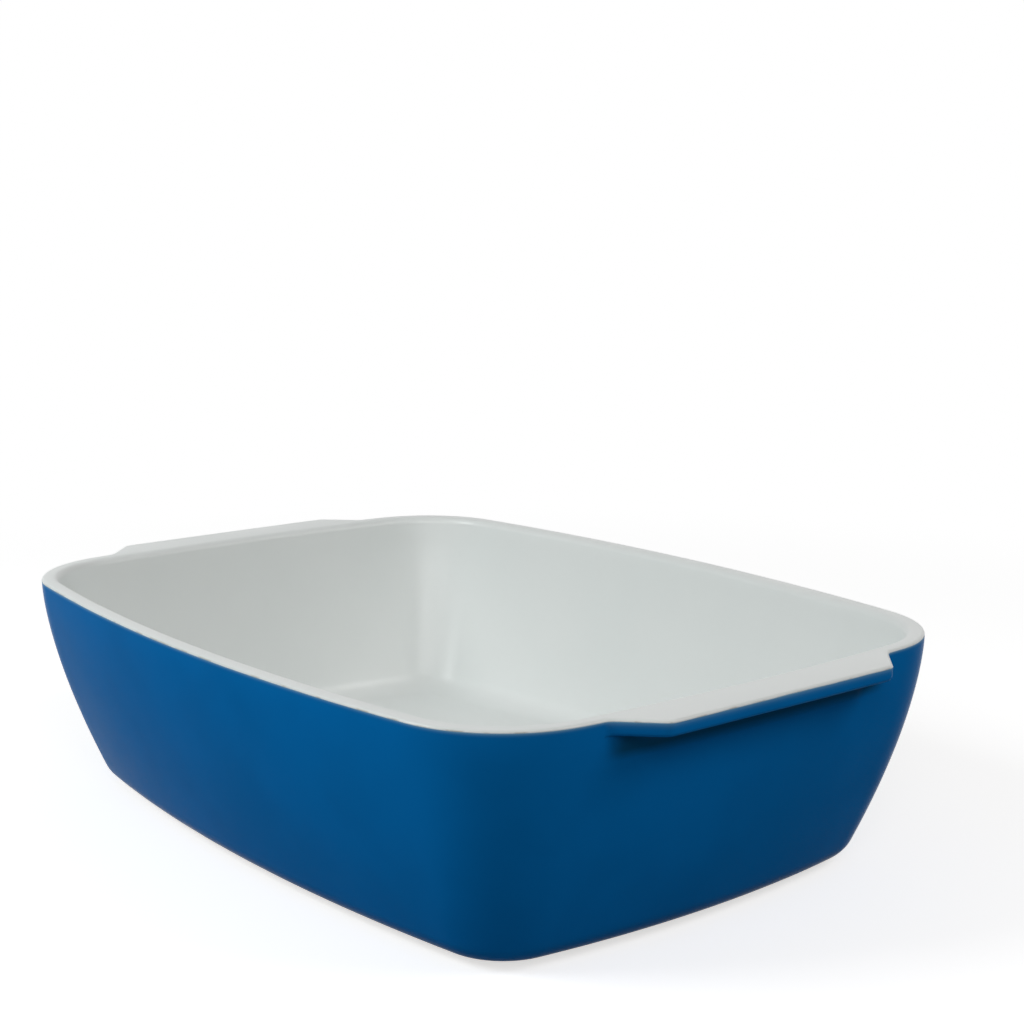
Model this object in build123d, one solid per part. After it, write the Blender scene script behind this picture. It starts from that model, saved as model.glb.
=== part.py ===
from build123d import *
from math import atan, atan2, cos, pi, radians, sin, sqrt, tan
import os

# A stoneware lasagna dish, in millimetres, +Z up. The origin is at the middle of the foot's lower face.
# +X runs the long way, through the two handles, and +Y across. Sizes are those of the glazed dish,
# and the clay under a coat of glaze lies that coat's thickness deeper.

# The rim, without the handles. Each side bows out, and the bow is the rise of its arc.
rim_length = 340.0
rim_width = 256.0
dish_height = 92.0
rim_long_bow = 17.0
rim_short_bow = 9.0
rim_corner_radius = 46.0
rim_outer_round = 0.8
rim_inner_round = 2.6

# The walls lean in towards the foot, little under the rim and more below
long_wall_lean = 25.7
short_wall_lean = 24.0
lean_power_share = 1.5
foot_long_bow = 14.0
foot_short_bow = 12.5
foot_corner_radius = 27.0
bottom_edge_radius = 14.5

# The clay between its two coats of glaze
wall_thickness = 7.5
floor_thickness = 8.0
cove_radius = 14.0

# The bare ring that the dish stands on
foot_ring_height = 1.5
foot_ring_width = 7.0
foot_ring_setback = 3.0
foot_ring_inner_corner = 7.0

# The two handles, flat slabs that carry on from the rim. The angle is the one that a slab's straight
# ends face in, measured from the way that its long edge faces.
handle_reach = 12.0
handle_straight = 103.0
handle_edge_bow = 0.3
handle_end_angle = 45.0
handle_corner_radius = 5.0
handle_root_radius = 8.0
handle_root_sink = 0.35
handle_thickness = 6.0
handle_edge_round = 1.0

# The cove under each slab, which gets ever shorter and softer on its way down to the wall
cove_reach = 6.0
cove_drop = 6.0
cove_straight = 100.0
cove_corner_radius = 8.0
cove_root_radius = 13.0
cove_root_sink = 0.6

# Each handle's root is let into a shallow seat in the wall, a little wider and taller than the handle
seat_width = 150.0
seat_height = 16.0
seat_depth = 1.2

# The coats of glaze
glaze_thickness = 0.5
blue_stop_height = 3.0
white_lap = 1.0

# How many spans shape the walls and the handles' coves, and how much of an upright corner's
# radius the rounding that runs round its foot may take
wall_spans = 6
cove_spans = 5
corner_limit_share = 0.8

# One overrun for all cuts, and the width of a block that reaches past the whole dish
overrun = 5.0
level_size = rim_length + rim_width


def crossing(centre_a, radius_a, centre_b, radius_b):
    """The crossing of two circles that lies furthest out along +X and +Y."""
    dx = centre_b[0] - centre_a[0]
    dy = centre_b[1] - centre_a[1]
    gap = sqrt(dx * dx + dy * dy)
    inward = (gap * gap + radius_a * radius_a - radius_b * radius_b) / (2 * gap)
    aside = sqrt(radius_a * radius_a - inward * inward)
    foot_x = centre_a[0] + inward * dx / gap
    foot_y = centre_a[1] + inward * dy / gap
    first = (foot_x - aside * dy / gap, foot_y + aside * dx / gap)
    second = (foot_x + aside * dy / gap, foot_y - aside * dx / gap)
    return max(first, second, key=lambda point: point[0] + point[1])


def bow_radius(half_chord, bow):
    """The radius of an arc that rises by bow over its chord."""
    return (half_chord * half_chord + bow * bow) / (2 * bow)


def angle_from(centre, point):
    """The direction of a point seen from a centre, in radians."""
    return atan2(point[1] - centre[1], point[0] - centre[0])


def along(start, length, angle):
    """The point at a length from another, in a direction given in radians."""
    return start[0] + length * cos(angle), start[1] + length * sin(angle)


def level_arc(centre, radius, start, end, z):
    """An arc in the level plane at z, from one angle to another."""
    angles = (start, (start + end) / 2, end)
    return Edge.make_three_point_arc(*[Vector(*along(centre, radius, angle), z) for angle in angles])


def plan_sizes(z):
    """Half length, half width, the two bows and the corner radius of the outside at height z."""
    depth_share = (dish_height - z) / dish_height
    lean_share = depth_share ** lean_power_share
    half_length = rim_length / 2 - short_wall_lean * lean_share
    half_width = rim_width / 2 - long_wall_lean * lean_share
    long_bow = rim_long_bow + (foot_long_bow - rim_long_bow) * depth_share
    short_bow = rim_short_bow + (foot_short_bow - rim_short_bow) * depth_share
    corner = rim_corner_radius + (foot_corner_radius - rim_corner_radius) * depth_share
    return half_length, half_width, long_bow, short_bow, corner


def plan_wire(z, grow, corner_radius=None):
    """The outline at height z: four bowed sides and four corners, moved out by grow."""
    half_length, half_width, long_bow, short_bow, corner = plan_sizes(z)
    long_radius = bow_radius(half_length, long_bow)
    short_radius = bow_radius(half_width, short_bow)
    long_centre = (0, half_width - long_radius)
    short_centre = (half_length - short_radius, 0)
    if corner_radius is None:
        corner_radius = corner + grow
    long_radius += grow
    short_radius += grow
    centre = crossing(long_centre, long_radius - corner_radius, short_centre, short_radius - corner_radius)
    to_long = angle_from(long_centre, centre)
    to_short = angle_from(short_centre, centre)
    x, y = centre
    return Wire([
        level_arc(short_centre, short_radius, -to_short, to_short, z),
        level_arc((x, y), corner_radius, to_short, to_long, z),
        level_arc(long_centre, long_radius, to_long, pi - to_long, z),
        level_arc((-x, y), corner_radius, pi - to_long, pi - to_short, z),
        level_arc((-short_centre[0], 0), short_radius, pi - to_short, pi + to_short, z),
        level_arc((-x, -y), corner_radius, pi + to_short, pi + to_long, z),
        level_arc((0, -long_centre[1]), long_radius, pi + to_long, 2 * pi - to_long, z),
        level_arc((x, -y), corner_radius, 2 * pi - to_long, 2 * pi - to_short, z),
    ])


def heights(low, high):
    """The heights of the outlines that shape a wall, evenly spaced."""
    return [low + (high - low) * step / wall_spans for step in range(wall_spans + 1)]


def turn_radius(radius, corner_radius):
    """A rounding's radius, as far as the upright corners that it runs round leave room for it."""
    return min(radius, corner_limit_share * corner_radius)


def outside(coat, top):
    """The solid within the outer face of the walls, up to a height. A coat of glaze is left off it."""
    walls = Solid.make_loft([plan_wire(z, -coat) for z in heights(foot_ring_height, top)])
    round_radius = turn_radius(bottom_edge_radius, foot_corner_radius)
    return fillet(walls.edges().group_by(Axis.Z)[0], round_radius - coat)


def inside(depth):
    """The space in the dish, taken down into its coat or its clay by a depth."""
    floor_z = foot_ring_height + floor_thickness - depth
    space = Solid.make_loft([plan_wire(z, depth - wall_thickness) for z in heights(floor_z, dish_height)])
    round_radius = turn_radius(cove_radius, foot_corner_radius - wall_thickness)
    return fillet(space.edges().group_by(Axis.Z)[0], round_radius + depth)


def splayed_root(corner_centre, joint_radius, end_angle, wall_centre, root_to_wall):
    """The centre of a root's arc that a straight end, facing in a direction, runs to from its corner."""
    start = along(corner_centre, joint_radius, end_angle)
    slope = end_angle + pi / 2
    away_x = start[0] - wall_centre[0]
    away_y = start[1] - wall_centre[1]
    nearing = away_x * cos(slope) + away_y * sin(slope)
    spare = away_x * away_x + away_y * away_y - root_to_wall * root_to_wall
    return along(start, -nearing - sqrt(nearing * nearing - spare), slope)


def lug_wire(z, reach, sink, grow, straight, corner_radius, root_radius, root_sink, end_angle=None):
    """The outline of a lug at +X at height z, moved out by grow and closed inside the wall."""
    half_length, half_width, long_bow, short_bow, corner = plan_sizes(z)
    base = half_length - sink
    wall_radius = bow_radius(half_width, short_bow)
    wall_centre = (base - wall_radius, 0)
    half_straight = straight / 2
    edge_radius = bow_radius(half_straight, handle_edge_bow)
    edge_centre = (base + reach - edge_radius, 0)
    corner_to_edge = edge_radius - corner_radius
    corner_centre = (edge_centre[0] + sqrt(corner_to_edge ** 2 - half_straight ** 2), half_straight)
    root_to_wall = wall_radius + root_radius - root_sink
    joint_radius = corner_radius + root_radius
    if end_angle is None:
        root_centre = crossing(corner_centre, joint_radius, wall_centre, root_to_wall)
        corner_end = angle_from(corner_centre, root_centre)
    else:
        root_centre = splayed_root(corner_centre, joint_radius, end_angle, wall_centre, root_to_wall)
        corner_end = end_angle
    corner_start = angle_from(edge_centre, corner_centre)
    root_start = corner_end + pi
    root_end = angle_from(root_centre, wall_centre) % (2 * pi)
    upper = [(corner_centre, corner_radius + grow, corner_start, corner_end)]
    upper.append((root_centre, root_radius - grow, root_start, root_end))
    lower = [((x, -y), radius, -end, -start) for (x, y), radius, start, end in reversed(upper)]
    long_edge = (edge_centre, edge_radius + grow, -corner_start, corner_start)
    arcs = [level_arc(*arc, z) for arc in (*lower, long_edge, *upper)]
    if end_angle is not None:
        arcs.insert(1, Edge.make_line(arcs[0] @ 1, arcs[1] @ 0))
        arcs.insert(-1, Edge.make_line(arcs[-2] @ 1, arcs[-1] @ 0))
    back_x = base - wall_thickness
    tips = [arcs[-1] @ 1, arcs[0] @ 0]
    corners = [tips[0], Vector(back_x, tips[0].Y, z), Vector(back_x, tips[1].Y, z), tips[1]]
    return Wire(arcs + [Edge.make_line(a, b) for a, b in zip(corners, corners[1:])])


def lug(coat):
    """The handle at +X: a slab over a cove that dies into the wall, with a coat of glaze left off."""
    top = dish_height - coat
    under = dish_height - handle_thickness + coat
    slab_sizes = (handle_straight, handle_corner_radius, handle_root_radius, handle_root_sink)
    facing = radians(handle_end_angle)
    outlines = [lug_wire(z, handle_reach, 0, -coat, *slab_sizes, facing) for z in (top, under)]
    slab = Solid.make_loft(outlines, True)
    wall_x = (rim_length - wall_thickness / 2) / 2
    lip = [edge for edge in slab.edges().group_by(Axis.Z)[0] if edge.center().X > wall_x]
    slab = fillet(lip, handle_edge_round + glaze_thickness - coat)
    cove_sizes = (cove_straight, cove_corner_radius, cove_root_radius, cove_root_sink)
    wires = []
    for step in range(cove_spans + 1):
        turn = pi / 2 * step / cove_spans
        z = under - cove_drop * (1 - cos(turn))
        reach = cove_reach * (1 - sin(turn)) + cove_root_sink
        wires.append(lug_wire(z, reach, 2 * cove_root_sink, -coat, *cove_sizes))
    return slab + Solid.make_loft(wires)


def envelope(coat):
    """The walls and handles before they are hollowed, with the outer edge of the rim rounded."""
    handle = lug(coat)
    whole = outside(coat, dish_height - coat) + handle + handle.mirror(Plane.YZ)
    return fillet(whole.edges().group_by(Axis.Z)[-1], rim_outer_round + glaze_thickness - coat)


def hollow(solid, coat):
    """A solid less the space in the dish, with the inner edge of the rim rounded."""
    open_dish = solid - inside(coat)
    rim = open_dish.faces().sort_by(Axis.Z)[-1]
    return fillet(rim.inner_wires()[0].edges(), rim_inner_round + glaze_thickness - coat)


def level_block(low, high):
    """A block wider than the dish, between two heights."""
    block = Box(level_size, level_size, high - low, align=(Align.CENTER, Align.CENTER, Align.MIN))
    return block.moved(Location((0, 0, low)))


def foot_ring():
    """The bare ring under the floor, set in from where the wall turns under."""
    lean = atan(lean_power_share * long_wall_lean / dish_height)
    turned_under = turn_radius(bottom_edge_radius, foot_corner_radius) * tan((pi / 2 - lean) / 2)
    outer = -turned_under - foot_ring_setback
    inner = outer - foot_ring_width
    inner_face = Face(plan_wire(foot_ring_height, inner, foot_ring_inner_corner))
    ring = Face(plan_wire(foot_ring_height, outer)) - inner_face
    return extrude(ring, foot_ring_height, dir=(0, 0, -1))


def clay_pieces():
    """The body and the two handles, each handle with its root in its seat in the wall."""
    clay = hollow(envelope(glaze_thickness), glaze_thickness)
    seat_back = outside(glaze_thickness + seat_depth, dish_height)
    seats = Box(level_size, seat_width, seat_height, align=(Align.CENTER, Align.CENTER, Align.MAX))
    handles = (clay - seat_back) & seats.moved(Location((0, 0, dish_height)))
    left, right = handles.solids().sort_by(Axis.X)
    return clay - left - right, left, right, clay


def glaze_coats(clay):
    """The white coat in the dish and over its rim, and the blue coat round the outside."""
    coats = hollow(envelope(0), 0) - clay
    in_the_clay = inside(wall_thickness / 2)
    colour_break = dish_height - white_lap
    white_zone = level_block(colour_break, dish_height + overrun) + in_the_clay
    blue_zone = level_block(blue_stop_height, colour_break) - in_the_clay
    return coats & white_zone, coats & blue_zone


body, handle_left, handle_right, clay = clay_pieces()
white_coat, blue_coat = glaze_coats(clay)
pieces = {
    "stoneware_body": body,
    "foot_ring": foot_ring(),
    "handle_left": handle_left,
    "handle_right": handle_right,
    "white_glaze": white_coat,
    "blue_glaze": blue_coat,
}

os.makedirs("parts", exist_ok=True)
for name, piece in pieces.items():
    export_step(piece, "parts/" + name + ".step")
    print(name, "volume", round(piece.volume), "valid", piece.is_valid)
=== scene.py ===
# %% [markdown]
# # A glazed stoneware lasagna dish
# The dish is one piece of fired clay under two coats of glaze: white inside, over the rim and over
# the tops of the two handles, and blue round the outside. The solid model already has the right
# sizes, so this lesson lays finely shaped coats of glaze over it, gives every surface its finish,
# and sets it on a pale floor in soft light.

# %% Load the solid model
import bmesh
import bpy
from bisect import bisect_left
from math import asin, atan, atan2, cos, degrees, pi, radians, sin, sqrt, tan
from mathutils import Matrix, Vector


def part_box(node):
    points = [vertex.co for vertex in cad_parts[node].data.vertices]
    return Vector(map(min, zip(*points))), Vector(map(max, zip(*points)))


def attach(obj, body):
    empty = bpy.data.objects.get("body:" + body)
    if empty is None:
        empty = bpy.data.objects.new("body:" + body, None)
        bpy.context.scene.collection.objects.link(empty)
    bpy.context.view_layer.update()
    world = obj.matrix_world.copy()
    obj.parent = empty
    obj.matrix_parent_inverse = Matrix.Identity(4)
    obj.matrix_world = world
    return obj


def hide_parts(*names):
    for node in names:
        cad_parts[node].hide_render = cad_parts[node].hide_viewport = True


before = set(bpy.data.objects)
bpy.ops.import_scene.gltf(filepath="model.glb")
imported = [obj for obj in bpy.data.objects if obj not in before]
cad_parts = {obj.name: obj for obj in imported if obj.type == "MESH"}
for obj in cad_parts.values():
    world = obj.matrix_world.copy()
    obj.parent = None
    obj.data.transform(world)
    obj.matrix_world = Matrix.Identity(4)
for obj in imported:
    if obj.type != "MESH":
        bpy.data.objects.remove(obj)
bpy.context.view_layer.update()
print("solids:", ", ".join(sorted(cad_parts)))

# %% [markdown]
# The coats follow the solid model, so the main sizes are read from it, and the rest are the sizes
# that it was drawn with. Lengths are in metres, and MM turns a drawing size into metres.

# %% Sizes of the dish
MM = 0.001
COAT = 0.5 * MM
blue_low, blue_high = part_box("blue_glaze")
white_low, white_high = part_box("white_glaze")
ring_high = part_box("foot_ring")[1]

HANDLE_REACH = 12 * MM
HEIGHT = white_high.z
HALF_LENGTH = blue_high.x - HANDLE_REACH
HALF_WIDTH = blue_high.y
FOOT_HEIGHT = ring_high.z
BLUE_STOP = blue_low.z
FLOOR_TOP = white_low.z + COAT

# %% Sizes of the walls
RIM_LONG_BOW, FOOT_LONG_BOW = 17 * MM, 14 * MM
RIM_SHORT_BOW, FOOT_SHORT_BOW = 9 * MM, 12.5 * MM
RIM_CORNER, FOOT_CORNER = 46 * MM, 27 * MM
LONG_LEAN, SHORT_LEAN, LEAN_POWER = 25.7 * MM, 24 * MM, 1.5
WALL = 7.5 * MM
BOTTOM_ROUND, COVE_ROUND = 14.5 * MM, 14 * MM
RIM_OUTER_ROUND, RIM_INNER_ROUND = 1.3 * MM, 3.1 * MM
print("rim", round(2 * HALF_LENGTH / MM), "x", round(2 * HALF_WIDTH / MM), "mm, height", round(HEIGHT / MM))

# %% Sizes of the handles
EDGE_BOW = 0.3 * MM
SLAB_STRAIGHT, SLAB_CORNER, SLAB_ROOT, SLAB_SINK = 103 * MM, 5 * MM, 8 * MM, 0.35 * MM
SLAB_END = radians(45)
COVE_STRAIGHT, COVE_CORNER, COVE_ROOT, COVE_SINK = 100 * MM, 8 * MM, 13 * MM, 0.6 * MM
COVE_REACH = COVE_DROP = 6 * MM
HANDLE_THICK = 6 * MM
LIP_ROUND = 1.5 * MM
LAP = 1.0 * MM
ROOT_FADE = 0.6 * MM

# %% [markdown]
# Seen from above, the outline at any height is made of eight arcs: four bowed sides and four corners
# that run into each other. A side's arc has its centre far behind it, and a corner's centre lies
# where it is the right distance from the centres of both its neighbours.

# %% Circle helpers
def bow_radius(half_chord, bow):
    """The radius of an arc that rises by bow over its chord."""
    return (half_chord * half_chord + bow * bow) / (2 * bow)


def crossing(centre_a, radius_a, centre_b, radius_b):
    """The crossing of two circles that lies furthest out along +X and +Y."""
    gap = centre_b - centre_a
    along = (gap.length_squared + radius_a ** 2 - radius_b ** 2) / (2 * gap.length)
    aside = sqrt(radius_a ** 2 - along ** 2)
    foot = centre_a + gap.normalized() * along
    across = gap.orthogonal().normalized() * aside
    return max(foot + across, foot - across, key=lambda point: point.x + point.y)


def heading(centre, point):
    """The direction of a point seen from a centre."""
    return atan2(point.y - centre.y, point.x - centre.x)


# %% The outline's eight arcs at a height
def plan_sizes(z):
    """Half length, half width, the two bows and the corner radius of the outer face at height z."""
    depth = max(0.0, (HEIGHT - z) / HEIGHT)
    lean = depth ** LEAN_POWER
    long_bow = RIM_LONG_BOW + (FOOT_LONG_BOW - RIM_LONG_BOW) * depth
    short_bow = RIM_SHORT_BOW + (FOOT_SHORT_BOW - RIM_SHORT_BOW) * depth
    corner = RIM_CORNER + (FOOT_CORNER - RIM_CORNER) * depth
    return HALF_LENGTH - SHORT_LEAN * lean, HALF_WIDTH - LONG_LEAN * lean, long_bow, short_bow, corner


def plan_arcs(z):
    """The eight arcs at height z as (centre, radius, start, end), from the side at +X round to the left."""
    half_length, half_width, long_bow, short_bow, corner = plan_sizes(z)
    long_radius, short_radius = bow_radius(half_length, long_bow), bow_radius(half_width, short_bow)
    long_centre, short_centre = Vector((0, half_width - long_radius)), Vector((half_length - short_radius, 0))
    middle = crossing(long_centre, long_radius - corner, short_centre, short_radius - corner)
    to_long, to_short = heading(long_centre, middle), heading(short_centre, middle)
    x, y = middle
    return [
        (short_centre, short_radius, -to_short, to_short),
        (middle, corner, to_short, to_long),
        (long_centre, long_radius, to_long, pi - to_long),
        (Vector((-x, y)), corner, pi - to_long, pi - to_short),
        (-short_centre, short_radius, pi - to_short, pi + to_short),
        (-middle, corner, pi + to_short, pi + to_long),
        (-long_centre, long_radius, pi + to_long, 2 * pi - to_long),
        (Vector((x, -y)), corner, 2 * pi - to_long, 2 * pi - to_short),
    ]


# %% [markdown]
# A handle is a flat slab with a cove under it. Its outline is a nearly straight edge, a small corner,
# a straight end that splays out at 45 degrees, and a hollow root that runs back into the wall. The
# cove's outline is softer, and its corner runs straight on into its root. The helper says how far
# such an outline stands out from the wall at any place along it.

# %% How far a slab or a cove stands out
def lug_reach(z, reach, sink, straight, corner, root_size, root_sink, end=None):
    """A function of y: how far a lug of these sizes stands out from the wall at height z."""
    half_length, half_width, _, short_bow, _ = plan_sizes(z)
    wall_radius = bow_radius(half_width, short_bow)
    wall = Vector((half_length - wall_radius, 0))
    sunk_wall = Vector((wall.x - sink, 0))
    half_straight = straight / 2
    edge_radius = bow_radius(half_straight, EDGE_BOW)
    edge = Vector((half_length - sink + reach - edge_radius, 0))
    turn = Vector((edge.x + sqrt((edge_radius - corner) ** 2 - half_straight ** 2), half_straight))
    root_to_wall = wall_radius + root_size - root_sink
    if end is None:
        root = crossing(turn, corner + root_size, sunk_wall, root_to_wall)
        end = heading(turn, root)
    else:
        facing, slope = Vector((cos(end), sin(end))), Vector((-sin(end), cos(end)))
        away = turn + facing * (corner + root_size) - sunk_wall
        nearing = away.dot(slope)
        travel = -nearing - sqrt(nearing ** 2 - away.length_squared + root_to_wall ** 2)
        root = sunk_wall + away + slope * travel
    edge_end = edge.y + edge_radius * sin(heading(edge, turn))
    turn_end = turn + Vector((cos(end), sin(end))) * corner
    root_start = root - Vector((cos(end), sin(end))) * root_size

    def stand_out(y):
        y = abs(y)
        if y > root.y:
            return 0.0
        wall_x = wall.x + sqrt(wall_radius ** 2 - y ** 2)
        if y < edge_end:
            lug_x = edge.x + sqrt(edge_radius ** 2 - y ** 2)
        elif y < turn_end.y:
            lug_x = turn.x + sqrt(corner ** 2 - (y - turn.y) ** 2)
        elif y < root_start.y:
            share = (y - turn_end.y) / (root_start.y - turn_end.y)
            lug_x = turn_end.x + (root_start.x - turn_end.x) * share
        else:
            lug_x = root.x - sqrt(root_size ** 2 - (y - root.y) ** 2)
        return max(0.0, lug_x - wall_x)

    return stand_out


def slab_reach(z):
    """How far the handle's slab stands out at height z."""
    return lug_reach(z, HANDLE_REACH, 0.0, SLAB_STRAIGHT, SLAB_CORNER, SLAB_ROOT, SLAB_SINK, SLAB_END)


def cove_reach(z, reach):
    """How far the cove stands out at height z, where it has that reach."""
    return lug_reach(z, reach, 2 * COVE_SINK, COVE_STRAIGHT, COVE_CORNER, COVE_ROOT, COVE_SINK)


print("the handle stands out", round(slab_reach(HEIGHT)(0.0) / MM, 2), "mm at its middle")


# %% [markdown]
# Every ring of a coat has the same number of points, and point number n always sits at the same
# share of the same arc. Rings can then be joined one above the other without twisting. On the short
# sides the points are spread evenly along the handle's outline, so that its steep roots get enough.

# %% Stations round the dish
SHORT_SIDE, CORNER, LONG_SIDE, FINE = 168, 28, 64, 4000


def shares_along_handle(count):
    """Shares of a short side's arc whose points are evenly spaced along the handle's outline."""
    centre, radius, start, end = plan_arcs(HEIGHT)[0]
    stand_out = slab_reach(HEIGHT)
    shares, walked, last = [], [], None
    for step in range(FINE + 1):
        turn = start + (end - start) * step / FINE
        point = centre + Vector((cos(turn), sin(turn))) * radius
        point.x += stand_out(point.y)
        walked.append(walked[-1] + (point - last).length if last else 0.0)
        last = point
    for number in range(count):
        goal = walked[-1] * number / count
        shares.append(bisect_left(walked, goal) / FINE)
    return shares


handle_shares = shares_along_handle(SHORT_SIDE)
stations = []
for arc, count in enumerate((SHORT_SIDE, CORNER, LONG_SIDE, CORNER) * 2):
    even = [step / count for step in range(count)]
    stations += [(arc, share) for share in (handle_shares if count == SHORT_SIDE else even)]
print("stations round the dish:", len(stations))


def on_arc(arcs, station, grow=0.0):
    """The point of a station on its arc, moved out by grow."""
    arc, share = station
    centre, radius, start, end = arcs[arc]
    turn = start + (end - start) * share
    return centre + Vector((cos(turn), sin(turn))) * (radius + grow)


def plan_ring(z, grow=0.0):
    """The points of the outline at height z, moved out by grow."""
    arcs = plan_arcs(z)
    return [on_arc(arcs, station, grow) for station in stations]


# %% A ring with the handles in it
def move_out(ring, grow):
    """The ring's points, moved outwards at right angles to it."""
    moved = []
    for index, point in enumerate(ring):
        along = ring[(index + 1) % len(ring)] - ring[index - 1]
        moved.append(point + Vector((along.y, -along.x)).normalized() * grow)
    return moved


def rim_ring(z, stand_out=None):
    """The outline at height z with both handles, whose slabs or coves stand out that far."""
    stand_out = stand_out or slab_reach(z)
    ring = []
    for x, y in plan_ring(z):
        ring.append(Vector((x + (stand_out(y) if x > 0 else -stand_out(y)), y)))
    return ring


# %% [markdown]
# A coat is made as a glazier would see it: a skin that starts as one ring of points and is extruded
# ring after ring over the surface. `create_circle` gives the first ring and `extrude_edge_only` each
# next one. A whole-number layer on the points remembers which station each belongs to, so that the
# new points can be put in their places. Two more layers mark how close a point is to the line where
# the two glazes meet, and how much painted shade darkens it under the handles. The finishes read them.

# %% Helpers that grow a skin ring by ring
def start_skin(places):
    """A new bmesh with one ring of points at their places, on the line between the glazes."""
    bm = bmesh.new()
    bm.verts.layers.int.new("station")
    bm.verts.layers.float.new("rim_line")
    bm.verts.layers.float.new("painted_shade")
    station, rim_line = bm.verts.layers.int["station"], bm.verts.layers.float["rim_line"]
    verts = bmesh.ops.create_circle(bm, cap_ends=False, segments=len(places), radius=HALF_WIDTH)["verts"]
    for number, vert in enumerate(verts):
        vert[station] = number
        vert[rim_line] = 1.0
        vert.co = places[number]
    return bm, list(bm.edges)


def grow_skin(bm, edge_ring, places, nearness=0.0, thickness=None):
    """Extrudes the open ring and puts the new points in their places; thickness gives each station's share of
    painted shade. Returns the new open ring.
    """
    station, rim_line = bm.verts.layers.int["station"], bm.verts.layers.float["rim_line"]
    painted_shade = bm.verts.layers.float["painted_shade"]
    grown = bmesh.ops.extrude_edge_only(bm, edges=edge_ring)["geom"]
    verts = {item for item in grown if isinstance(item, bmesh.types.BMVert)}
    for vert in verts:
        vert.co = places[vert[station]]
        vert[rim_line] = nearness
        # Each station's share of painted shade under the handles, 0 away from them.
        vert[painted_shade] = thickness[vert[station]] if thickness else 0.0
    return [item for item in grown if isinstance(item, bmesh.types.BMEdge) and set(item.verts) <= verts]


def level(ring, z):
    """A flat ring's points in space."""
    return [Vector((point.x, point.y, z)) for point in ring]


def finish_piece(name, bm, material, node, coat=None):
    mesh = bpy.data.meshes.new(name)
    for face in bm.faces:
        face.smooth = True
    bm.to_mesh(mesh)
    bm.free()
    piece = bpy.data.objects.new(name, mesh)
    bpy.context.scene.collection.objects.link(piece)
    mesh.materials.append(material)
    if coat:
        shell = piece.modifiers.new("coat thickness", "SOLIDIFY")
        shell.thickness = coat
        shell.offset = -1.0
        shell.use_even_offset = True
    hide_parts(node)
    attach(piece, "root")
    print(name, "has", len(mesh.polygons), "faces")
    return piece


# %% [markdown]
# Where the wall turns into the floor, and outside where it turns under, the profile is a quarter-round
# between the leaning wall and a level face. The wall leans more at the corners than along the sides,
# so every station has a lean of its own.

# %% The rounding between the leaning wall and a level face
def wall_leans(z):
    """The angle between the wall and the upright at every station, near height z."""
    return [atan((above - here).length / MM) for here, above in zip(plan_ring(z), plan_ring(z + MM))]


def rounded_rings(base_z, radius, depth, steps):
    """Rings round a turn from the wall, depth in from its outer face, down to the level base_z."""
    leans, rings = wall_leans(base_z), []
    for step in range(steps + 1):
        places = []
        for station, lean in zip(stations, leans):
            turn = lean + (pi / 2 - lean) * step / steps
            height = radius * (1 - sin(turn))
            inset = radius * (cos(turn) - (1 - sin(lean)) / cos(lean)) - height * tan(lean)
            point = on_arc(plan_arcs(base_z + height), station, inset - depth)
            places.append(Vector((point.x, point.y, base_z + height)))
        rings.append(places)
    return rings


def rings_between(top_ring, foot_ring, depth, steps):
    """Rings down the wall between two rings, following its curve."""
    rings = []
    for step in range(1, steps):
        places = []
        for station, top, foot in zip(stations, top_ring, foot_ring):
            z = top.z + (foot.z - top.z) * step / steps
            point = on_arc(plan_arcs(z), station, -depth)
            places.append(Vector((point.x, point.y, z)))
        rings.append(places)
    return rings


foot_leans = [degrees(lean) for lean in wall_leans(FOOT_HEIGHT)]
print("the wall leans", round(min(foot_leans), 1), "to", round(max(foot_leans), 1), "degrees at its foot")

# %% [markdown]
# The two glazes meet on the rounded outer edge of the rim. On a real dish the potter wipes or dips to
# that line by hand, so it wanders by a hair. Both coats take the line from the same helper, and so
# they always meet.

# %% The line where the two glazes meet
LINE_WANDER, LINE_FADE = 0.12 * MM, 2.5


def colour_line(number):
    """The height of the line between the glazes at a station."""
    turn = 2 * pi * number / len(stations)
    wander = sin(7 * turn + 1.3) + 0.6 * sin(17 * turn + 4.0) + 0.4 * sin(41 * turn + 2.2)
    return HEIGHT - LAP + LINE_WANDER * wander / 2


def edge_row(share, low_side):
    """A ring on the rim's outer rounding: share 0 is the line between the glazes, 1 the rounding's end."""
    goal = 0.0 if low_side else pi / 2
    ring_now = rim_ring(HEIGHT)
    inward = move_out(ring_now, -RIM_OUTER_ROUND)
    places = []
    for number, (outer, inner) in enumerate(zip(ring_now, inward)):
        line = asin((colour_line(number) - HEIGHT + RIM_OUTER_ROUND) / RIM_OUTER_ROUND)
        turn = line + (goal - line) * share
        place = inner.lerp(outer, cos(turn))
        places.append(Vector((place.x, place.y, HEIGHT - RIM_OUTER_ROUND * (1 - sin(turn)))))
    return places


# %% [markdown]
# ## The finishes
# All three finishes are mixed from noise on Object coordinates, which are metres on this dish. A
# small kit of helpers keeps the recipes short: a mottle of a given patch size, a ramp between two
# values, a blend of two colours and a bump.

# %% Node helpers
def start_finish(name):
    """A new material with its tree, its shader and the metres of the dish as coordinates."""
    material = bpy.data.materials.new(name)
    material.use_nodes = True
    tree = material.node_tree
    place = tree.nodes.new("ShaderNodeTexCoord").outputs["Object"]
    return material, tree, tree.nodes["Principled BSDF"], place


def mottle(tree, place, patch, detail=2.0, stretch=None):
    """Noise with patches of about that size in metres."""
    if stretch:
        mapping = tree.nodes.new("ShaderNodeMapping")
        mapping.inputs["Scale"].default_value = stretch
        tree.links.new(place, mapping.inputs["Vector"])
        place = mapping.outputs["Vector"]
    noise = tree.nodes.new("ShaderNodeTexNoise")
    noise.inputs["Scale"].default_value = 1 / patch
    noise.inputs["Detail"].default_value = detail
    tree.links.new(place, noise.inputs["Vector"])
    return noise.outputs["Fac"]


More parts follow.
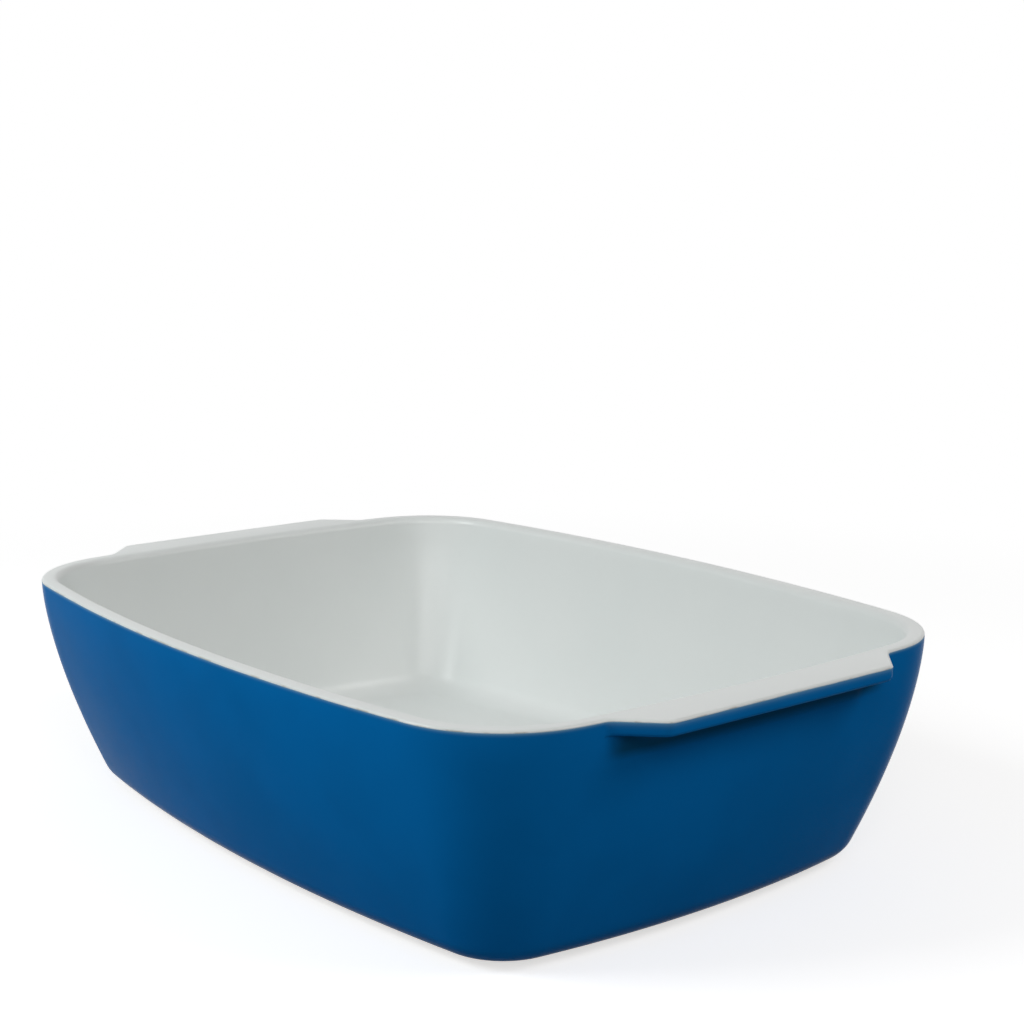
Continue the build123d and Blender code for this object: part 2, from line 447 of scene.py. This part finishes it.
def ramp(tree, value, start, end, low=0.0, high=1.0):
    """Maps a value from start..end to low..high, with soft ends."""
    node = tree.nodes.new("ShaderNodeMapRange")
    node.interpolation_type = "SMOOTHSTEP"
    for socket, number in zip(("From Min", "From Max", "To Min", "To Max"), (start, end, low, high)):
        node.inputs[socket].default_value = number
    tree.links.new(value, node.inputs["Value"])
    return node.outputs["Result"]


def combine(tree, operation, first, second):
    """A sum or product of two values."""
    node = tree.nodes.new("ShaderNodeMath")
    node.operation = operation
    for socket, value in zip(node.inputs, (first, second)):
        if isinstance(value, (int, float)):
            socket.default_value = value
        else:
            tree.links.new(value, socket)
    return node.outputs["Value"]


def blend(tree, share, first, second):
    """Two colours blended by a share. Either may be a node's colour."""
    node = tree.nodes.new("ShaderNodeMix")
    node.data_type = "RGBA"
    tree.links.new(share, node.inputs["Factor"])
    for socket, colour in zip((node.inputs[6], node.inputs[7]), (first, second)):
        if isinstance(colour, tuple):
            socket.default_value = (*colour, 1.0)
        else:
            tree.links.new(colour, socket)
    return node.outputs[2]


def add_bump(tree, shader, height, distance, strength=1.0):
    """Relief of a given depth in metres."""
    node = tree.nodes.new("ShaderNodeBump")
    node.inputs["Strength"].default_value = strength
    node.inputs["Distance"].default_value = distance
    tree.links.new(height, node.inputs["Height"])
    tree.links.new(node.outputs["Normal"], shader.inputs["Normal"])


def marked(tree, layer):
    """What a layer of the skins says at a point, such as how near the line between the glazes is."""
    node = tree.nodes.new("ShaderNodeAttribute")
    node.attribute_name = layer
    return node.outputs["Fac"]


def height_above(tree, place, z):
    """The height of a point above a level, in metres."""
    split = tree.nodes.new("ShaderNodeSeparateXYZ")
    tree.links.new(place, split.inputs["Vector"])
    return combine(tree, "SUBTRACT", split.outputs["Z"], z)


# %% [markdown]
# The white glaze is a cool off-white with a soft shine. It pools a little greyer in places, has the
# faint skin of orange peel that fired glaze has, and goes thin and toasted right at the line where it
# meets the blue.

# %% White glaze
WHITE, WHITE_POOLED = (0.82, 0.85, 0.84), (0.805, 0.84, 0.83)
TOASTED = (0.30, 0.27, 0.19)

white_glaze, tree, shader, place = start_finish("white glaze")
pooled = ramp(tree, mottle(tree, place, 60 * MM), 0.35, 0.7)
colour = blend(tree, pooled, WHITE, WHITE_POOLED)
broken = ramp(tree, mottle(tree, place, 9 * MM, 3.0), 0.5, 0.65, 0.0, 0.6)
thin = combine(tree, "MULTIPLY", marked(tree, "rim_line"), broken)
tree.links.new(blend(tree, thin, colour, TOASTED), shader.inputs["Base Color"])
shine = ramp(tree, mottle(tree, place, 25 * MM, 3.0), 0.3, 0.7, 0.30, 0.36)
tree.links.new(shine, shader.inputs["Roughness"])
add_bump(tree, shader, mottle(tree, place, 4 * MM, 1.0), 0.02 * MM)
print("white glaze has", len(tree.nodes), "nodes")

# %% [markdown]
# The blue glaze is deep and even. Where it runs over an edge it is thinner and breaks to a lighter,
# greener blue. In the hollow under each handle a darker blue is painted in as shade, to deepen the
# shadow there. Its reflection is set far weaker than that of real glaze, since the white surroundings
# would lay a pale veil over its colour.

# %% Blue glaze
BLUE, BLUE_DEEP, BLUE_THIN = (0.0015, 0.168, 0.505), (0.0015, 0.155, 0.465), (0.20, 0.42, 0.60)
# The darker blue below is painted shade for the hollow under each handle.
BLUE_PAINTED_SHADE = (0.004, 0.070, 0.150)
WEAK_SHINE = 1.03

blue_glaze, tree, shader, place = start_finish("blue glaze")
deeper = ramp(tree, mottle(tree, place, 45 * MM), 0.35, 0.7)
colour = blend(tree, deeper, BLUE, BLUE_DEEP)
# Painted shade: the blue darkens in the hollow under each handle.
colour = blend(tree, marked(tree, "painted_shade"), colour, BLUE_PAINTED_SHADE)
thin = ramp(tree, marked(tree, "rim_line"), 0.0, 1.0)
tree.links.new(blend(tree, thin, colour, BLUE_THIN), shader.inputs["Base Color"])
shine = ramp(tree, mottle(tree, place, 20 * MM, 3.0), 0.3, 0.7, 0.14, 0.24)
tree.links.new(shine, shader.inputs["Roughness"])
shader.inputs["IOR"].default_value = WEAK_SHINE
add_bump(tree, shader, mottle(tree, place, 5 * MM, 1.0), 0.02 * MM)
print("blue glaze has", len(tree.nodes), "nodes")

# %% [markdown]
# The bare clay shows only under the dish: a warm, sandy stoneware with dark specks, scuffed a little
# paler on the foot where it rubs on tables and oven shelves.

# %% Bare clay
CLAY, CLAY_DARK = (0.55, 0.43, 0.30), (0.44, 0.33, 0.22)
SPECK, SCUFFED = (0.10, 0.06, 0.04), (0.66, 0.56, 0.44)

bare_clay, tree, shader, place = start_finish("bare clay")
colour = blend(tree, ramp(tree, mottle(tree, place, 18 * MM, 4.0), 0.35, 0.7), CLAY, CLAY_DARK)
specks = ramp(tree, mottle(tree, place, 1.6 * MM, 2.0), 0.68, 0.73)
colour = blend(tree, specks, colour, SPECK)
scuffs = combine(
    tree, "MULTIPLY",
    ramp(tree, height_above(tree, place, 0.0), 0.0, 0.5 * MM, 0.8, 0.0),
    ramp(tree, mottle(tree, place, 7 * MM, 4.0), 0.4, 0.65),
)
tree.links.new(blend(tree, scuffs, colour, SCUFFED), shader.inputs["Base Color"])
matt = ramp(tree, mottle(tree, place, 6 * MM), 0.3, 0.7, 0.72, 0.9)
tree.links.new(matt, shader.inputs["Roughness"])
add_bump(tree, shader, mottle(tree, place, 0.9 * MM, 3.0), 0.12 * MM)
print("bare clay has", len(tree.nodes), "nodes")

# %% [markdown]
# ## The white coat
# The skin starts at the line between the glazes and goes over the rim's edge, across the flat top of
# the rim and the handles, down the inside of the wall and round the cove onto the floor. There the
# rings shrink towards the middle, and one small face closes the skin.

# %% Lay the white coat
EDGE_STEPS, INNER_STEPS, WALL_STEPS, COVE_STEPS = 5, 7, 10, 10
FLOOR_SHARES = (0.93, 0.8, 0.6, 0.4, 0.2, 0.05)

bm, ring = start_skin(edge_row(0.0, False))
for step in range(1, EDGE_STEPS + 1):
    share = step / EDGE_STEPS
    ring = grow_skin(bm, ring, edge_row(share, False), max(0.0, 1 - LINE_FADE * share))
rim_inner = -(WALL - RIM_INNER_ROUND)
for step in range(INNER_STEPS + 1):
    turn = pi / 2 * step / INNER_STEPS
    z = HEIGHT - RIM_INNER_ROUND * (1 - cos(turn))
    ring = grow_skin(bm, ring, level(plan_ring(z, rim_inner - RIM_INNER_ROUND * sin(turn)), z))
wall_top = level(plan_ring(HEIGHT - RIM_INNER_ROUND, -WALL), HEIGHT - RIM_INNER_ROUND)
cove = rounded_rings(FLOOR_TOP, COVE_ROUND, WALL, COVE_STEPS)
for places in rings_between(wall_top, cove[0], WALL, WALL_STEPS) + cove:
    ring = grow_skin(bm, ring, places)
for share in FLOOR_SHARES:
    places = [Vector((point.x * share, point.y * share, FLOOR_TOP)) for point in cove[-1]]
    ring = grow_skin(bm, ring, places)
bmesh.ops.edgeloop_fill(bm, edges=ring)

# %% [markdown]
# Extruding says nothing about which side of a face is the outside. One face is enough to tell: on
# this skin, the small face in the middle of the floor must look up. If it looks down, every face is
# turned round.

# %% Turn the white coat's faces outwards and finish it
def face_out(bm, looks_out):
    """Makes all the faces agree, and turns them round if the tested face looks the wrong way."""
    bmesh.ops.recalc_face_normals(bm, faces=list(bm.faces))
    bm.normal_update()
    bm.faces.ensure_lookup_table()
    if not looks_out(bm):
        bmesh.ops.reverse_faces(bm, faces=list(bm.faces))


def floor_looks_up(bm):
    """Whether the face nearest to the middle of the floor looks up."""
    middle = min(bm.faces, key=lambda face: face.calc_center_median().to_2d().length)
    return middle.normal.z > 0


face_out(bm, floor_looks_up)
finish_piece("white_glaze_coat", bm, white_glaze, "white_glaze", COAT)

# %% [markdown]
# ## The blue coat
# The skin starts at the same line and goes down the edge, round the handle's lower lip, across its
# underside and through the cove to the wall, and down to where the glaze stops near the foot. Away
# from the handles the same rings are spread evenly down the plain wall. Between the two, each ring
# fades from one to the other over the handle's root.

# %% Lay the blue coat down to the foot of the handles
LOW_EDGE_STEPS, SIDE_STEPS, LIP_STEPS, COVE_ROWS = 3, 3, 6, 8

slab = slab_reach(HEIGHT)
under = HEIGHT - HANDLE_THICK
side_top, side_foot = HEIGHT - RIM_OUTER_ROUND, under + LIP_ROUND
rows = []
for step in range(1, SIDE_STEPS + 1):
    z = side_top + (side_foot - side_top) * step / SIDE_STEPS
    rows.append((z, rim_ring(z)))
for step in range(1, LIP_STEPS + 1):
    turn = pi / 2 * step / LIP_STEPS
    z = side_foot - LIP_ROUND * sin(turn)
    full = rim_ring(z)
    tucked = []
    for outer, inner in zip(full, move_out(full, -LIP_ROUND)):
        room = min(1.0, slab(outer.y) / LIP_ROUND)
        tucked.append(outer.lerp(inner, room * (1 - cos(turn))))
    rows.append((z, tucked))
for step in range(COVE_ROWS + 1):
    turn = pi / 2 * step / COVE_ROWS
    z = under - COVE_DROP * (1 - cos(turn))
    rows.append((z, rim_ring(z, cove_reach(z, COVE_REACH * (1 - sin(turn)) + COVE_SINK))))

# %% Blend the handle's rings with the plain wall's
PAINTED_SHADE_SHARE, PAINTED_SHADE_REACH = 0.85, 9 * MM
RIM_FADE = (0.2, 0.05)
COVE_START = SIDE_STEPS + LIP_STEPS


def smooth(value):
    """Eases from 0 to 1."""
    value = min(1.0, max(0.0, value))
    return value * value * (3 - 2 * value)


# Painted shade under each handle: its share rises with how far the slab stands out.
shade_under_handle = [PAINTED_SHADE_SHARE * smooth(slab(y) / PAINTED_SHADE_REACH) for x, y in plan_ring(HEIGHT)]
fade = [smooth(slab(y) / ROOT_FADE) for x, y in plan_ring(HEIGHT)]
cove_foot = under - COVE_DROP
bm, ring = start_skin(edge_row(0.0, True))
for step in range(1, LOW_EDGE_STEPS + 1):
    share = step / LOW_EDGE_STEPS
    ring = grow_skin(bm, ring, edge_row(share, True), 1 - share / 2)
for number, (z, handle_ring) in enumerate(rows, 1):
    even_z = side_top + (cove_foot - side_top) * number / len(rows)
    places = []
    for share, plain, lug in zip(fade, level(plan_ring(even_z), even_z), level(handle_ring, z)):
        places.append(plain.lerp(lug, share))
    nearness = RIM_FADE[number - 1] if number <= len(RIM_FADE) else 0.0
    # The cove's rings carry the painted shade under the handle.
    thickness = shade_under_handle if number > COVE_START else None
    ring = grow_skin(bm, ring, places, nearness, thickness)

# %% Carry the blue coat down the wall
LOW_WALL_STEPS, UNDER_TURN_STEPS = 20, 14

wall_top = level(plan_ring(cove_foot), cove_foot)
turned = rounded_rings(FOOT_HEIGHT, BOTTOM_ROUND, 0.0, UNDER_TURN_STEPS)
turned = [places for places in turned if max(place.z for place in places) > BLUE_STOP]
for places in rings_between(wall_top, turned[0], 0.0, LOW_WALL_STEPS) + turned:
    ring = grow_skin(bm, ring, places)


def wall_looks_out(bm):
    """Whether the lowest face looks away from the middle of the dish."""
    lowest = min(bm.faces, key=lambda face: face.calc_center_median().z)
    return lowest.normal.to_2d().dot(lowest.calc_center_median().to_2d()) > 0


face_out(bm, wall_looks_out)
finish_piece("blue_glaze_coat", bm, blue_glaze, "blue_glaze", COAT)

# %% [markdown]
# ## The clay
# The body, the foot ring and the handles' cores are right as the solid model has them, so they stay
# and only get the clay's finish.

# %% Give the clay its finish
for name in ("stoneware_body", "foot_ring", "handle_left", "handle_right"):
    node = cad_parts[name]
    node.data.materials.clear()
    node.data.materials.append(bare_clay)
    print(name, "wears bare clay")

# %% [markdown]
# ## The stage
# The floor is a wide pale sheet. Near the dish it is plain paint that takes the dish's soft shadow.
# Further out it turns, for the camera and for reflections, into even white, so that it runs into the
# white of the world with no edge. It lies a hair under the foot, so that no two faces share a place.

# %% Floor
FLOOR_HALF, SHADOW_REACH, WHITE_REACH = 4.0, 0.30, 0.75
FLOOR_PAINT, FLOOR_BOUNCE, FLOOR_GLOW = 0.72, 0.30, 0.64
FLOOR_DROP = 0.05 * MM


def seen_directly(tree):
    """1 for what the camera, a reflection or a clear body sees, and 0 for soft light."""
    path = tree.nodes.new("ShaderNodeLightPath").outputs
    seen = combine(tree, "MAXIMUM", path["Is Camera Ray"], path["Is Glossy Ray"])
    return combine(tree, "MAXIMUM", seen, path["Is Transmission Ray"])


floor_paint = bpy.data.materials.new("floor paint")
floor_paint.use_nodes = True
tree = floor_paint.node_tree
tree.nodes.remove(tree.nodes["Principled BSDF"])
paint = tree.nodes.new("ShaderNodeBsdfDiffuse")
seen = seen_directly(tree)
tree.links.new(ramp(tree, seen, 0.0, 1.0, FLOOR_BOUNCE, FLOOR_PAINT), paint.inputs["Color"])
away = tree.nodes.new("ShaderNodeVectorMath")
away.operation = "LENGTH"
tree.links.new(tree.nodes.new("ShaderNodeTexCoord").outputs["Object"], away.inputs[0])
far = ramp(tree, away.outputs["Value"], SHADOW_REACH, WHITE_REACH)
near_glow = tree.nodes.new("ShaderNodeEmission")
tree.links.new(combine(tree, "MULTIPLY", seen, FLOOR_GLOW), near_glow.inputs["Strength"])
lit = tree.nodes.new("ShaderNodeAddShader")
tree.links.new(paint.outputs["BSDF"], lit.inputs[0])
tree.links.new(near_glow.outputs["Emission"], lit.inputs[1])
white = tree.nodes.new("ShaderNodeEmission")
join = tree.nodes.new("ShaderNodeMixShader")
tree.links.new(combine(tree, "MULTIPLY", seen, far), join.inputs["Fac"])
tree.links.new(lit.outputs["Shader"], join.inputs[1])
tree.links.new(white.outputs["Emission"], join.inputs[2])
tree.links.new(join.outputs["Shader"], tree.nodes["Material Output"].inputs["Surface"])

bm = bmesh.new()
bmesh.ops.create_grid(bm, x_segments=1, y_segments=1, size=FLOOR_HALF)
bmesh.ops.translate(bm, verts=list(bm.verts), vec=(0.0, 0.0, -FLOOR_DROP))
mesh = bpy.data.meshes.new("floor")
bm.to_mesh(mesh)
bm.free()
floor = bpy.data.objects.new("floor", mesh)
bpy.context.scene.collection.objects.link(floor)
mesh.materials.append(floor_paint)
print("floor", 2 * FLOOR_HALF, "m wide")

# %% World
AMBIENT = 0.18

world = bpy.data.worlds.new("studio")
bpy.context.scene.world = world
world.use_nodes = True
tree = world.node_tree
background = tree.nodes["Background"]
background.inputs["Color"].default_value = (1.0, 1.0, 1.0, 1.0)
strength = ramp(tree, seen_directly(tree), 0.0, 1.0, AMBIENT, 1.0)
tree.links.new(strength, background.inputs["Strength"])

# %% [markdown]
# ## Light
# One soft box stands high to the left and makes the long side the brighter one. A weaker, warmer one
# stands high to the right and leaves a shadow under the handle. A third, the weakest, stands in front
# and fills the near corner and the inside's far end. A wide panel near the camera shows only in
# reflections, as a gleam in the far inner corner. More power makes the rim clip to white from behind.

# %% Soft boxes
DISH_MIDDLE = Vector((0.0, 0.0, HEIGHT / 2))


def soft_box(name, place, width, height, power, colour):
    """An area light that looks at the middle of the dish."""
    lamp = bpy.data.lights.new(name, "AREA")
    lamp.shape = "RECTANGLE"
    lamp.size, lamp.size_y, lamp.energy, lamp.color = width, height, power, colour
    box = bpy.data.objects.new(name, lamp)
    box.location = place
    box.rotation_euler = (DISH_MIDDLE - Vector(place)).to_track_quat("-Z", "Y").to_euler()
    bpy.context.scene.collection.objects.link(box)
    print(name, "gives", power, "W")
    return box


soft_box("left box", (-0.42, -1.00, 0.80), 0.6, 0.5, 7.9, (0.97, 1.0, 1.0))
soft_box("right box", (1.00, 0.55, 1.00), 0.6, 0.5, 4.9, (1.0, 0.97, 0.95))
soft_box("front box", (1.00, -0.70, 0.85), 0.6, 0.5, 2.5, (1.0, 0.98, 0.96))
glint = soft_box("glint panel", (0.75, -1.05, 0.60), 1.3, 0.5, 4.0, (1.0, 1.0, 1.0))
glint.visible_diffuse = False

# %% [markdown]
# ## Camera
# The place, the heading, the tilt and the lens come from matching the dish's own edges with the ones in
# the picture: the rim's near and far edges, the near handle's long edge and the outline of the walls.

# %% Camera
CAMERA_PLACE = (0.5910, -0.4511, 0.2613)
CAMERA_TILT, CAMERA_HEADING = 79.76, 50.905
LENS = 65.95

camera_data = bpy.data.cameras.new("camera")
camera_data.lens = LENS
camera_data.sensor_width = 36.0
camera = bpy.data.objects.new("camera", camera_data)
camera.location = CAMERA_PLACE
camera.rotation_euler = (radians(CAMERA_TILT), 0.0, radians(CAMERA_HEADING))
bpy.context.scene.collection.objects.link(camera)
bpy.context.scene.camera = camera
bpy.context.scene.view_settings.view_transform = "Standard"
print("lens", LENS, "mm at", CAMERA_PLACE)
